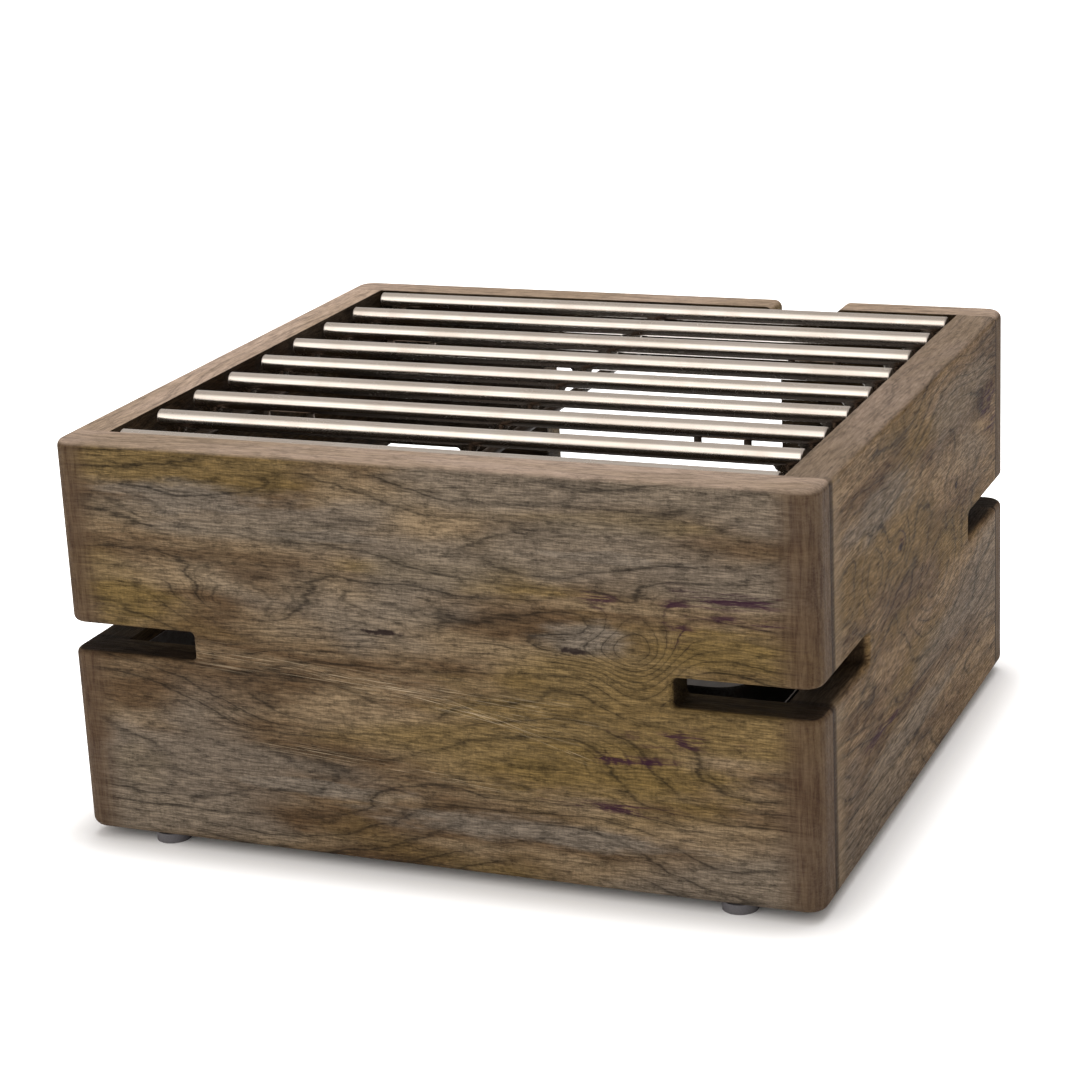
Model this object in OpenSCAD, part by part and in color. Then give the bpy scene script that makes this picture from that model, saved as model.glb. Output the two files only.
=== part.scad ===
// Square timber fire pit surround with a lift-out bar grate, a fire tray and an ash drawer.
// The origin is on the ground under the middle of the box: +X right, +Y back, +Z up.

/* [Wooden walls] */
// Outer width from left to right
box_w = 800; // [680:10:1000]
// Outer depth from front to back
box_d = 740; // [660:10:920]
// Height of the wooden walls
wall_h = 420; // [400:5:520]
// Thickness of the wall boards
wall_t = 44; // [36:1:50]
// Height of the lower board in each wall
lower_board_h = 212; // [205:1:240]
// Radius of the upright outer corners
corner_r = 20; // [10:1:20]
// Radius of the outer edges round the top and the bottom
edge_r = 8; // [3:1:9]

/* [Openings in the walls] */
// Height of the draught slots at the corners
slot_h = 30; // [20:1:36]
// Reach of each slot along the front and back walls
slot_x = 145; // [100:5:180]
// Reach of each slot along the side walls
slot_y = 168; // [100:2:180]
// Radius of the blind ends of the slots
slot_end_r = 5; // [2:1:9]
// Width of the window in the back wall
window_w = 295; // [240:5:320]
// Wood left above the window
window_head = 74; // [70:1:100]
// Width of the finger notch in the back rim
notch_w = 74; // [60:2:100]
// Depth of the finger notch
notch_depth = 18; // [10:1:20]
// Distance of the notch from the middle of the wall
notch_x = 177; // [150:2:200]
// Radius of the two upper corners of the notch
notch_r = 9; // [4:1:9]

/* [Joinery] */
// Diameter of the hidden dowels between the boards
dowel_d = 10; // [8:1:12]
// Length of the hidden dowels
dowel_l = 60; // [40:5:80]
// Spacing of the dowels along the front wall
dowel_pitch_x = 180; // [140:5:200]
// Spacing of the dowels along the side walls
dowel_pitch_y = 140; // [100:5:160]
// Thickness of the splines in the corner joints
spline_t = 4; // [3:1:6]
// Width of the splines in the corner joints
spline_w = 22; // [14:1:26]

/* [Grate] */
// Number of grate bars
bar_count = 9; // [7:1:10]
// Diameter of the grate bars
bar_d = 18; // [14:1:20]
// Wall of the grate bar tubes
bar_wall = 2; // [1:0.5:3]
// Gap between a bar's end and the side wall
bar_end_gap = 8; // [6:1:12]
// Gap between the outermost bars and the walls
bar_side_gap = 3; // [2:1:8]
// Height of the bars' tops above the wooden rim
bar_proud = 0; // [-4:1:6]
// Diameter of the rails under the bars
rail_d = 12; // [10:1:14]
// Gap between the bars and the rails, spanned by the posts
post_h = 16; // [12:1:20]
// Diameter of a post at its waist
post_d = 9; // [7:1:10]
// Diameter of a post at its flared ends
post_flare_d = 15; // [11:1:16]
// Distance of the outer rails from the bars' ends
rail_inset = 18; // [14:1:30]
// Distance of the lifting lugs from the middle of the grate
lug_x = 240; // [200:5:260]
// Distance between the two posts of a lifting lug
lug_span = 52; // [40:2:60]
// Diameter of a lifting lug's rod
lug_d = 8; // [6:1:10]
// Clear gap between a lug's rod and its bar
lug_gap = 6; // [5.5:0.5:8]

/* [Grate rests] */
// Width of a rest
rest_w = 36; // [30:1:40]
// Reach of a rest from the wall
rest_reach = 30; // [24:1:36]
// Height of a rest's upright leg
rest_leg_h = 24; // [20:1:24]
// Thickness of a rest
rest_t = 4; // [3:0.5:5]

/* [Fire tray and grid] */
// Outer width of the fire tray
tray_w = 560; // [480:10:560]
// Outer depth of the fire tray
tray_d = 500; // [440:10:500]
// Height of the fire tray
tray_h = 84; // [70:2:90]
// Sheet thickness of the fire tray
tray_t = 3; // [2:0.5:4]
// Width of the tray's lip
tray_lip = 12; // [8:1:16]
// Radius of the tray's corners
tray_r = 24; // [16:1:40]
// Width of the ash opening in the tray's floor
ash_hole_w = 220; // [180:10:230]
// Depth of the ash opening in the tray's floor
ash_hole_d = 300; // [240:10:320]
// Overlap of the ash grid on the tray's floor
grid_lap = 14; // [10:1:20]
// Thickness of the ash grid
grid_t = 10; // [8:1:14]
// Number of gaps in the ash grid
grid_gaps = 11; // [8:1:12]
// Width of one rib of the ash grid
grid_rib = 10; // [8:1:14]
// Rod diameter of the tray's grips
grip_d = 8; // [6:1:10]
// Width of a tray grip
grip_w = 110; // [90:5:140]
// Height of a tray grip above the lip
grip_h = 30; // [28:1:32]

/* [Tray stand] */
// Height of the stand's legs
leg_h = 54; // [54:1:60]
// Diameter of the legs
leg_d = 16; // [12:1:20]
// Diameter of the legs' foot discs
leg_foot_d = 46; // [40:1:50]
// Distance of the legs from the middle, left and right
leg_x = 190; // [180:5:210]
// Distance of the legs from the middle, front and back
leg_y = 190; // [150:5:200]
// Width of the stand's flat bars
stand_bar_w = 30; // [24:1:36]
// Thickness of the stand's flat bars
stand_bar_t = 6; // [5:1:8]

/* [Ash drawer] */
// Outer width of the drawer
drawer_w = 280; // [200:5:280]
// Length of the drawer's box
drawer_l = 410; // [340:10:420]
// Height of the drawer's box
drawer_h = 46; // [36:1:46]
// Sheet thickness of the drawer
drawer_t = 2; // [1.5:0.5:3]
// Thickness of the drawer's front plate
front_t = 4; // [3:0.5:6]
// Length of the drawer's bar handle
handle_w = 110; // [80:5:140]
// Diameter of the drawer's handle
handle_d = 8; // [6:1:10]
// Reach of the handle from the front plate
handle_reach = 20; // [18:1:20]
// Side clearance between the drawer and a runner
runner_gap = 1.5; // [1:0.5:2]
// Height of a runner
runner_h = 18; // [12:1:24]
// Width of a runner's bottom flange
runner_w = 14; // [10:1:20]
// Sheet thickness of a runner
runner_t = 2; // [1.5:0.5:2]

/* [Base and heat shields] */
// Width and height of the battens that carry the base plate
batten_s = 20; // [16:1:22]
// Height of the battens above the walls' bottom edge
batten_up = 14; // [8:1:16]
// Thickness of the base plate
base_t = 2; // [1.5:0.5:3]
// Thickness of the heat shields
shield_t = 1.5; // [1:0.5:2]
// Air gap behind the heat shields
shield_air = 10; // [8:1:14]
// Height of the heat shields
shield_h = 146; // [120:2:146]
// Diameter of the spacers behind the shields
spacer_d = 12; // [10:1:14]

/* [Feet] */
// Height of the rubber feet
foot_h = 10; // [6:1:20]
// Diameter of the rubber feet
foot_d = 36; // [28:1:40]
// Distance of the feet from the middle, left and right
foot_x = 310; // [260:5:320]

/* [Screws] */
// Shank diameter of the wood screws
screw_d = 4.5; // [3.5:0.5:5]
// Head diameter of the wood screws
head_d = 9; // [8:0.5:10]
// Head height of the wood screws
head_h = 3; // [2:0.5:3.5]
// Depth of the screws in the wood
screw_bite = 24; // [16:1:26]

/* [Hidden] */
$fn = 48;

// Clearances and small details
cut = 1;             // how far a cutter runs past the face that it opens
slip = 0.1;          // play round hidden pins and screws
glide = 0.3;         // clearance under the drawer
plate_gap = 3;       // play round the base plate and the drawer front
rail_end_gap = 6;    // gap between a rail's end and the wall
cap_t = 2;           // thickness of a bar's end cap
cap_spigot = 10;     // length of the cap's spigot inside the tube
spline_margin = 8;   // wood between a spline and a slot
spline_end = 20;     // wood between a spline and a board's outer edge
shield_up = 6;       // gap between the base plate and the heat shields
shield_gap = 2;      // gap between neighbouring heat shields
fix_in = 26;         // distance of a shield's screws from its edges
rest_screw_x = 10;   // distance of a rest's screws from its middle
foot_disc_t = 3;     // thickness of a leg's foot disc
rivet_d = 5;         // shank of the rivets
rivet_head_d = 9;    // head of the rivets
rivet_head_h = 2;    // height of the rivets' heads
front_set_in = 8;    // the drawer front stands this far inside the window
front_over = 4;      // how far the drawer front rises above the drawer
handle_bite = 9;     // depth of the handle screws in the handle's posts
tool_d = 3;          // size of the hexagonal recess in the screws

// The box
hw = box_w / 2;
hd = box_d / 2;
in_x = hw - wall_t;
in_y = hd - wall_t;
z_low = foot_h;
z_rim = foot_h + wall_h;
z_seam = z_low + lower_board_h;
slot_low = z_seam - slot_h / 2;
slot_high = z_seam + slot_h / 2;
mid_x = hw - wall_t / 2;
mid_y = hd - wall_t / 2;

// The base, the window and what stands on the base
z_batten = z_low + batten_up;
z_base = z_batten + batten_s;
z_floor = z_base + base_t;
window_top = z_rim - window_head;
window_h = window_top - z_floor;
z_stand = z_floor + leg_h;
z_tray = z_stand + stand_bar_t;
z_lip = z_tray + tray_h;
z_shield = z_floor + shield_up;

// The drawer
z_drawer = z_floor + runner_t + glide;
drawer_y = in_y + front_set_in;
runner_x = drawer_w / 2 + runner_gap;
front_w = window_w - 2 * plate_gap;
front_z = z_floor + cut;
front_h = z_drawer + drawer_h + front_over - front_z;
handle_x = handle_w / 2 - handle_d / 2;
handle_z = front_z + front_h / 2;

// The grate
bar_half = in_x - bar_end_gap;
bar_z = z_rim + bar_proud - bar_d / 2;
bar_y1 = in_y - bar_side_gap - bar_d / 2;
bar_pitch = 2 * bar_y1 / (bar_count - 1);
rail_x = bar_half - rail_inset;
rail_half = in_y - rail_end_gap;
rail_z = bar_z - bar_d / 2 - post_h - rail_d / 2;
rest_z = rail_z - rail_d / 2;
lug_z = bar_z - bar_d / 2 - lug_gap - lug_d / 2;
lug_bars = [3, bar_count - 2];

// Heat shields
shield_in = shield_air + shield_t;
shield_half_x = in_x - shield_in - shield_gap;
shield_half_y = in_y - shield_in - shield_gap;
shield_jamb = window_w / 2 + shield_gap;

function bar_y(i) = bar_y1 - (i - 1) * bar_pitch;

// A place on an inner wall face, as [point, rotation]; its own +Z points into the box.
function on_front(x, z) = [[x, -in_y, z], [-90, 0, 0]];
function on_back(x, z) = [[x, in_y, z], [90, 0, 0]];
function on_left(y, z) = [[-in_x, y, z], [0, 90, 0]];
function on_right(y, z) = [[in_x, y, z], [0, -90, 0]];

// The heights and the places of everything that is screwed to the walls
shield_rows = [z_shield + fix_in, z_shield + shield_h - fix_in];
shield_fix = concat(
    [for (z = shield_rows, s = [-1, 1]) on_front(s * (shield_half_x - fix_in), z)],
    [for (z = shield_rows, s = [-1, 1]) on_back(s * (shield_half_x - fix_in), z)],
    [for (z = shield_rows, s = [-1, 1]) on_back(s * (shield_jamb + fix_in), z)],
    [for (z = shield_rows, s = [-1, 1]) on_left(s * (shield_half_y - fix_in), z)],
    [for (z = shield_rows, s = [-1, 1]) on_right(s * (shield_half_y - fix_in), z)]
);
rest_fix_z = rest_z - rest_leg_h / 2 - rest_t / 2;
rest_fix_x = [for (r = [-1, 0, 1], s = [-1, 1]) r * rail_x + s * rest_screw_x];
rest_fix = concat(
    [for (x = rest_fix_x) on_front(x, rest_fix_z)],
    [for (x = rest_fix_x) on_back(x, rest_fix_z)]
);
batten_fix_z = z_batten + batten_s / 2;
batten_fix = concat(
    [for (s = [-1, 1]) on_front(s * hw / 2, batten_fix_z)],
    [for (s = [-1, 1]) on_back(s * hw / 2, batten_fix_z)],
    [for (s = [-1, 1]) on_left(s * hd / 2, batten_fix_z)],
    [for (s = [-1, 1]) on_right(s * hd / 2, batten_fix_z)]
);
foot_fix = [for (x = [-foot_x, foot_x], y = [-mid_y, mid_y]) [[x, y, z_low], [180, 0, 0]]];
foot_recess = head_h + 2;

// The dowels: three along the front, two beside the window, three along each side
jamb_x = (window_w / 2 + hw - slot_x) / 2;
dowel_spots = concat(
    [for (k = [-1:1]) [k * dowel_pitch_x, -mid_y]],
    [for (k = [-1, 1]) [k * jamb_x, mid_y]],
    [for (k = [-1:1], s = [-1, 1]) [s * mid_x, k * dowel_pitch_y]]
);

// The plan of each wall: front and back run the full width, the sides stand between them
front_plan = [[-hw, -hd], [hw, -hd], [hw, -in_y], [-hw, -in_y]];
back_plan = [[-hw, hd], [-hw, in_y], [hw, in_y], [hw, hd]];
left_plan = [[-hw, -in_y], [-in_x, -in_y], [-in_x, in_y], [-hw, in_y]];
right_plan = [[hw, -in_y], [hw, in_y], [in_x, in_y], [in_x, -in_y]];

// ---- Shapes that repeat ----

module at(place) {
    translate(place[0]) rotate(place[1]) children();
}

// A cuboid between two opposite corners
module block(low, high) {
    translate(low) cube(high - low);
}

// A rectangle with round corners, centred
module round_plan(w, d, r) {
    square([w - 2 * r, d], center = true);
    square([w, d - 2 * r], center = true);
    for (x = [-1, 1], y = [-1, 1])
        translate([x * (w / 2 - r), y * (d / 2 - r)]) circle(r);
}

// A pan-head screw along Z, head upwards from 0, with a hexagonal recess
module screw(length, shank = screw_d) {
    difference() {
        union() {
            translate([0, 0, -length]) cylinder(h = length, d = shank);
            cylinder(h = head_h, d1 = head_d, d2 = head_d * 0.7);
        }
        translate([0, 0, head_h / 2]) cylinder(h = head_h, d = tool_d, $fn = 6);
    }
}

// The hole for a screw of that length, open at the top
module screw_hole(length, shank = screw_d) {
    translate([0, 0, -length]) cylinder(h = length + cut, d = shank + 2 * slip);
}

// A rod bent into a U: two posts up from the ground and a bar across, along X
module bent_grip(width, height, d) {
    side = width / 2 - d / 2;
    for (s = [-1, 1]) {
        translate([s * side, 0, 0]) cylinder(h = height - d / 2, d = d);
        translate([s * side, 0, height - d / 2]) sphere(d = d);
    }
    translate([-side, 0, height - d / 2]) rotate([0, 90, 0]) cylinder(h = 2 * side, d = d);
}

// A short post with a flared foot and a flared head, along Z from 0
module flared_post(height, waist, flare) {
    r = (flare - waist) / 2;
    rotate_extrude()
        difference() {
            square([flare / 2, height]);
            translate([flare / 2, height / 2]) square([2 * r, height - 2 * r], center = true);
            translate([flare / 2, r]) circle(r);
            translate([flare / 2, height - r]) circle(r);
        }
}

// ---- The wooden walls ----

// Half of a draught slot: a channel along X from 0 to reach, with a round-cornered blind end
module slot_arm(reach, depth) {
    rotate([90, 0, 0])
        translate([0, 0, -cut])
            linear_extrude(depth + 2 * cut) {
                translate([-cut, -slot_h / 2]) square([reach - slot_end_r + cut, slot_h]);
                translate([0, slot_end_r - slot_h / 2]) square([reach, slot_h - 2 * slot_end_r]);
                for (s = [-1, 1])
                    translate([reach - slot_end_r, s * (slot_h / 2 - slot_end_r)])
                        circle(slot_end_r);
            }
}

// The four draught slots, each wrapped round a corner
module draught_slots() {
    for (x = [0, 1], y = [0, 1])
        mirror([x, 0, 0])
            mirror([0, y, 0])
                translate([-hw, -hd, z_seam]) {
                    translate([0, wall_t, 0]) slot_arm(slot_x, wall_t);
                    mirror([1, -1, 0]) translate([0, wall_t, 0]) slot_arm(slot_y, wall_t);
                }
}

// What is left outside a rounded edge: a strip along Z, its corner at the origin
module edge_strip_plan() {
    difference() {
        translate([-edge_r, -edge_r]) square(edge_r + cut);
        translate([-edge_r, -edge_r]) circle(edge_r);
    }
}

// Cutter that rounds the outer edge at the rim
module rim_cutter() {
    run_x = box_w - 2 * corner_r;
    run_y = box_d - 2 * corner_r;
    for (s = [0, 180]) {
        rotate([0, 0, s]) translate([run_x / 2, hd, 0]) rotate([90, 0, -90])
            linear_extrude(run_x) edge_strip_plan();
        rotate([0, 0, s]) translate([hw, run_y / 2, 0]) rotate([90, 0, 0])
            linear_extrude(run_y) edge_strip_plan();
    }
    for (x = [0, 1], y = [0, 1])
        mirror([x, 0, 0])
            mirror([0, y, 0])
                translate([hw - corner_r, hd - corner_r, 0])
                    rotate_extrude(angle = 90) translate([corner_r, 0]) edge_strip_plan();
}

// The box's outline with its round corners, between two heights
module outline(low, high) {
    translate([0, 0, low]) linear_extrude(high - low) round_plan(box_w, box_d, corner_r);
}

// Two splines in each corner joint, across the line where a side board meets the front or the back
module spline_set(play) {
    for (x = [-1, 1], y = [-1, 1])
        translate([x * mid_x, y * in_y, 0])
            for (span = [[z_low + spline_end, slot_low - spline_margin],
                         [slot_high + spline_margin, z_rim - spline_end]])
                block([-spline_t / 2 - play, -spline_w / 2 - play, span[0] - play],
                      [spline_t / 2 + play, spline_w / 2 + play, span[1] + play]);
}

module dowel_set(play) {
    for (spot = dowel_spots)
        translate([spot[0], spot[1], z_seam - dowel_l / 2 - play])
            cylinder(h = dowel_l + 2 * play, d = dowel_d + 2 * play);
}

// A board of one wall: its plan between two heights, less the joinery and what children cut
module board(plan, low, high) {
    color("#6e5c4a")
        difference() {
            intersection() {
                translate([0, 0, low]) linear_extrude(high - low) polygon(plan);
                outline(low, high);
            }
            draught_slots();
            spline_set(slip);
            dowel_set(slip);
            children();
        }
}

module upper_board(plan) {
    board(plan, z_seam, z_rim) {
        translate([0, 0, z_rim]) rim_cutter();
        for (p = rest_fix) at(p) screw_hole(screw_bite);
        children();
    }
}

module lower_board(plan) {
    board(plan, z_low, z_seam) {
        translate([0, 0, z_low]) mirror([0, 0, 1]) rim_cutter();
        for (p = concat(shield_fix, batten_fix, foot_fix)) at(p) screw_hole(screw_bite);
        children();
    }
}

// The window for wood, air and the ash drawer
module window_cutter() {
    block([-window_w / 2, in_y - cut, z_floor], [window_w / 2, hd + cut, window_top]);
}

// The finger notch: square below, with two rounded upper corners
module notch_cutter() {
    translate([notch_x, hd + cut, z_rim])
        rotate([90, 0, 0])
            linear_extrude(wall_t + 2 * cut) {
                translate([-notch_w / 2, -notch_depth]) square([notch_w, notch_depth + cut]);
                difference() {
                    translate([-notch_w / 2 - notch_r, -notch_r])
                        square([notch_w + 2 * notch_r, notch_r + cut]);
                    for (s = [-1, 1])
                        translate([s * (notch_w / 2 + notch_r), -notch_r]) circle(notch_r);
                }
            }
}

module front_board_upper() { upper_board(front_plan); }
module front_board_lower() { lower_board(front_plan); }
module left_board_upper() { upper_board(left_plan); }
module left_board_lower() { lower_board(left_plan); }
module right_board_upper() { upper_board(right_plan); }
module right_board_lower() { lower_board(right_plan); }

module back_board_upper() {
    upper_board(back_plan) {
        window_cutter();
        notch_cutter();
    }
}

module back_board_lower() {
    lower_board(back_plan) window_cutter();
}

module edge_dowels() {
    color("#c9a87a") dowel_set(0);
}

module corner_splines() {
    color("#c9a87a") spline_set(0);
}

// ---- The grate ----

module grate_bar(i) {
    tube_half = bar_half - cap_t;
    color("#cfcac4")
        translate([-tube_half, bar_y(i), bar_z])
            rotate([0, 90, 0])
                difference() {
                    cylinder(h = 2 * tube_half, d = bar_d);
                    translate([0, 0, -cut])
                        cylinder(h = 2 * (tube_half + cut), d = bar_d - 2 * bar_wall);
                }
}

// One cap, its outer face upwards at Z = cap_t
module end_cap() {
    cylinder(h = cap_t / 2, d = bar_d);
    translate([0, 0, cap_t / 2]) cylinder(h = cap_t / 2, d1 = bar_d, d2 = bar_d - cap_t);
    translate([0, 0, -cap_spigot])
        cylinder(h = cap_spigot, d = bar_d - 2 * bar_wall - 2 * slip);
}

module bar_end_caps() {
    color("#cfcac4")
        for (i = [1:bar_count], s = [0, 1])
            mirror([s, 0, 0])
                translate([bar_half - cap_t, bar_y(i), bar_z]) rotate([0, 90, 0]) end_cap();
}

module rail(x) {
    color("#bdb8b2")
        translate([x, rail_half, rail_z]) rotate([90, 0, 0]) cylinder(h = 2 * rail_half, d = rail_d);
}

module left_rail() { rail(-rail_x); }
module middle_rail() { rail(0); }
module right_rail() { rail(rail_x); }

// One post stands on every crossing of a rail and a bar, coped to both
module rail_posts() {
    bed = rail_d / 4;
    saddle = bar_d / 4;
    color("#bdb8b2")
        for (x = [-rail_x, 0, rail_x], i = [1:bar_count])
            translate([x, bar_y(i), 0])
                difference() {
                    translate([0, 0, rail_z + rail_d / 2 - bed])
                        flared_post(post_h + bed + saddle, post_d, post_flare_d);
                    translate([0, 0, rail_z]) rotate([90, 0, 0])
                        cylinder(h = 2 * post_flare_d, d = rail_d, center = true);
                    translate([0, 0, bar_z]) rotate([0, 90, 0])
                        cylinder(h = 2 * post_flare_d, d = bar_d, center = true);
                }
}

// A lug: a short rod parallel to the bar, hung from it by two posts
module lifting_lug() {
    saddle = bar_d / 4;
    difference() {
        union() {
            rotate([0, 90, 0]) cylinder(h = lug_span, d = lug_d, center = true);
            for (s = [-1, 1])
                translate([s * lug_span / 2, 0, 0]) {
                    sphere(d = lug_d);
                    cylinder(h = lug_d / 2 + lug_gap + saddle, d = lug_d);
                }
        }
        translate([0, 0, bar_z - lug_z]) rotate([0, 90, 0])
            cylinder(h = 2 * lug_span, d = bar_d, center = true);
    }
}

module lifting_lugs() {
    color("#bdb8b2")
        for (x = [-lug_x, lug_x], i = lug_bars)
            translate([x, bar_y(i), lug_z]) lifting_lug();
}

// The angle brackets on the walls that the rails' ends lie on
module grate_rests() {
    color("#8f8c88")
        for (x = [-rail_x, 0, rail_x], y = [0, 1])
            mirror([0, y, 0])
                translate([x, -in_y, rest_z])
                    difference() {
                        union() {
                            block([-rest_w / 2, 0, -rest_t], [rest_w / 2, rest_reach, 0]);
                            block([-rest_w / 2, 0, -rest_leg_h], [rest_w / 2, rest_t, 0]);
                        }
                        for (s = [-1, 1])
                            translate([s * rest_screw_x, rest_t, rest_fix_z - rest_z])
                                rotate([-90, 0, 0]) screw_hole(rest_t + cut);
                    }
}

module rest_screws() {
    color("#8f8c88")
        for (p = rest_fix) at(p) translate([0, 0, rest_t]) screw(rest_t + screw_bite - slip);
}

// ---- The base ----

module batten(low, high) {
    color("#a98c66")
        difference() {
            block(low, high);
            for (p = batten_fix) at(p) translate([0, 0, batten_s]) screw_hole(batten_s + cut);
        }
}

module base_batten_front() {
    batten([-in_x, -in_y, z_batten], [in_x, batten_s - in_y, z_base]);
}

module base_batten_back() {
    batten([-in_x, in_y - batten_s, z_batten], [in_x, in_y, z_base]);
}

module base_batten_left() {
    batten([-in_x, batten_s - in_y, z_batten], [batten_s - in_x, in_y - batten_s, z_base]);
}

module base_batten_right() {
    batten([in_x - batten_s, batten_s - in_y, z_batten], [in_x, in_y - batten_s, z_base]);
}

module batten_screws() {
    color("#8f8c88")
        for (p = batten_fix)
            at(p) translate([0, 0, batten_s]) screw(batten_s + screw_bite - slip);
}

// The places of the eight rivets that hold the legs' foot discs
rivet_spots = [for (x = [-leg_x, leg_x], y = [-leg_y, leg_y], s = [-1, 1])
    [x, y + s * (leg_foot_d + leg_d) / 4]];

module base_plate() {
    color("#5c5c5e")
        difference() {
            block([plate_gap - in_x, plate_gap - in_y, z_base],
                  [in_x - plate_gap, in_y - plate_gap, z_floor]);
            for (p = rivet_spots)
                translate([p[0], p[1], z_base - cut])
                    cylinder(h = base_t + 2 * cut, d = rivet_d + 2 * slip);
        }
}

module tray_legs() {
    color("#2b2b2c")
        difference() {
            for (x = [-leg_x, leg_x], y = [-leg_y, leg_y])
                translate([x, y, z_floor]) {
                    cylinder(h = foot_disc_t, d = leg_foot_d);
                    cylinder(h = leg_h, d = leg_d);
                }
            for (p = rivet_spots)
                translate([p[0], p[1], z_floor - cut])
                    cylinder(h = foot_disc_t + 2 * cut, d = rivet_d + 2 * slip);
        }
}

module leg_rivets() {
    grip = base_t + foot_disc_t;
    color("#5c5c5e")
        for (p = rivet_spots)
            translate([p[0], p[1], z_base]) {
                cylinder(h = grip, d = rivet_d);
                translate([0, 0, -rivet_head_h]) cylinder(h = rivet_head_h, d = rivet_head_d);
                translate([0, 0, grip]) cylinder(h = rivet_head_h, d = rivet_head_d);
            }
}

module stand_bar(x) {
    half = tray_d / 2 - tray_r;
    color("#2b2b2c")
        block([x - stand_bar_w / 2, -half, z_stand], [x + stand_bar_w / 2, half, z_tray]);
}

module stand_bar_left() { stand_bar(-leg_x); }
module stand_bar_right() { stand_bar(leg_x); }

// ---- The fire tray and its grid ----

module fire_tray() {
    inner_w = tray_w - 2 * tray_t;
    inner_d = tray_d - 2 * tray_t;
    color("#3a3a3c")
        translate([0, 0, z_tray])
            difference() {
                union() {
                    linear_extrude(tray_h) round_plan(tray_w, tray_d, tray_r);
                    translate([0, 0, tray_h - tray_t])
                        linear_extrude(tray_t)
                            round_plan(tray_w + 2 * tray_lip, tray_d + 2 * tray_lip,
                                       tray_r + tray_lip);
                }
                translate([0, 0, tray_t])
                    linear_extrude(tray_h) round_plan(inner_w, inner_d, tray_r - tray_t);
                translate([0, 0, -cut])
                    linear_extrude(tray_t + 2 * cut)
                        square([ash_hole_w, ash_hole_d], center = true);
            }
}

module tray_grip(x) {
    color("#3a3a3c")
        translate([x, 0, z_lip]) rotate([0, 0, 90]) bent_grip(grip_w, grip_h, grip_d);
}

module tray_grip_left() { tray_grip(-(tray_w + tray_lip) / 2); }
module tray_grip_right() { tray_grip((tray_w + tray_lip) / 2); }

module ash_grid() {
    gap = (ash_hole_w - (grid_gaps - 1) * grid_rib) / grid_gaps;
    color("#2b2b2c")
        translate([0, 0, z_tray + tray_t])
            difference() {
                linear_extrude(grid_t)
                    square([ash_hole_w + 2 * grid_lap, ash_hole_d + 2 * grid_lap], center = true);
                for (k = [0:grid_gaps - 1])
                    translate([k * (gap + grid_rib) - ash_hole_w / 2, -ash_hole_d / 2, -cut])
                        cube([gap, ash_hole_d, grid_t + 2 * cut]);
            }
}

// ---- The ash drawer ----

// An L-shaped runner: the drawer slides on its flange
module runner(side) {
    mirror([side, 0, 0])
        color("#8f8c88") {
            block([runner_x, drawer_y - drawer_l, z_floor],
                  [runner_x + runner_t, in_y, z_floor + runner_h]);
            block([runner_x + runner_t - runner_w, drawer_y - drawer_l, z_floor],
                  [runner_x + runner_t, in_y, z_floor + runner_t]);
        }
}

module drawer_runner_left() { runner(1); }
module drawer_runner_right() { runner(0); }

// The places of the two handle screws, inside the drawer's front
handle_fix = [for (s = [-1, 1]) [[s * handle_x, drawer_y - drawer_t, handle_z], [90, 0, 0]]];

module ash_drawer() {
    half = drawer_w / 2;
    back_y = drawer_y - drawer_l;
    color("#77787a")
        difference() {
            block([-half, back_y, z_drawer], [half, drawer_y, z_drawer + drawer_h]);
            block([drawer_t - half, back_y + drawer_t, z_drawer + drawer_t],
                  [half - drawer_t, drawer_y - drawer_t, z_drawer + drawer_h + cut]);
            for (p = handle_fix) at(p) screw_hole(drawer_t + cut);
        }
}

module drawer_front() {
    color("#77787a")
        difference() {
            block([-front_w / 2, drawer_y, front_z],
                  [front_w / 2, drawer_y + front_t, front_z + front_h]);
            for (p = handle_fix) at(p) screw_hole(drawer_t + front_t + cut);
        }
}

module drawer_handle() {
    color("#cfcac4")
        difference() {
            translate([0, drawer_y + front_t, handle_z])
                rotate([-90, 0, 0]) bent_grip(handle_w, handle_reach, handle_d);
            for (p = handle_fix) at(p) screw_hole(drawer_t + front_t + handle_bite + slip);
        }
}

module handle_screws() {
    color("#8f8c88")
        for (p = handle_fix) at(p) screw(drawer_t + front_t + handle_bite);
}

// ---- Heat shields ----

// A shield between two corners, drilled for its screws
module shield(low, high) {
    color("#8f8c88")
        difference() {
            block(low, high);
            for (p = shield_fix) at(p) translate([0, 0, shield_in]) screw_hole(shield_in + cut);
        }
}

module shield_front() {
    shield([-shield_half_x, shield_air - in_y, z_shield],
           [shield_half_x, shield_in - in_y, z_shield + shield_h]);
}

module shield_left() {
    shield([shield_air - in_x, -shield_half_y, z_shield],
           [shield_in - in_x, shield_half_y, z_shield + shield_h]);
}

module shield_right() {
    shield([in_x - shield_in, -shield_half_y, z_shield],
           [in_x - shield_air, shield_half_y, z_shield + shield_h]);
}

module shield_back_left() {
    shield([-shield_half_x, in_y - shield_in, z_shield],
           [-shield_jamb, in_y - shield_air, z_shield + shield_h]);
}

module shield_back_right() {
    shield([shield_jamb, in_y - shield_in, z_shield],
           [shield_half_x, in_y - shield_air, z_shield + shield_h]);
}

module shield_spacers() {
    color("#8f8c88")
        for (p = shield_fix)
            at(p)
                difference() {
                    cylinder(h = shield_air, d = spacer_d);
                    translate([0, 0, -cut])
                        cylinder(h = shield_air + 2 * cut, d = screw_d + 2 * slip);
                }
}

module shield_screws() {
    color("#8f8c88")
        for (p = shield_fix)
            at(p) translate([0, 0, shield_in]) screw(shield_in + screw_bite - slip);
}

// ---- Feet ----

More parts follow.
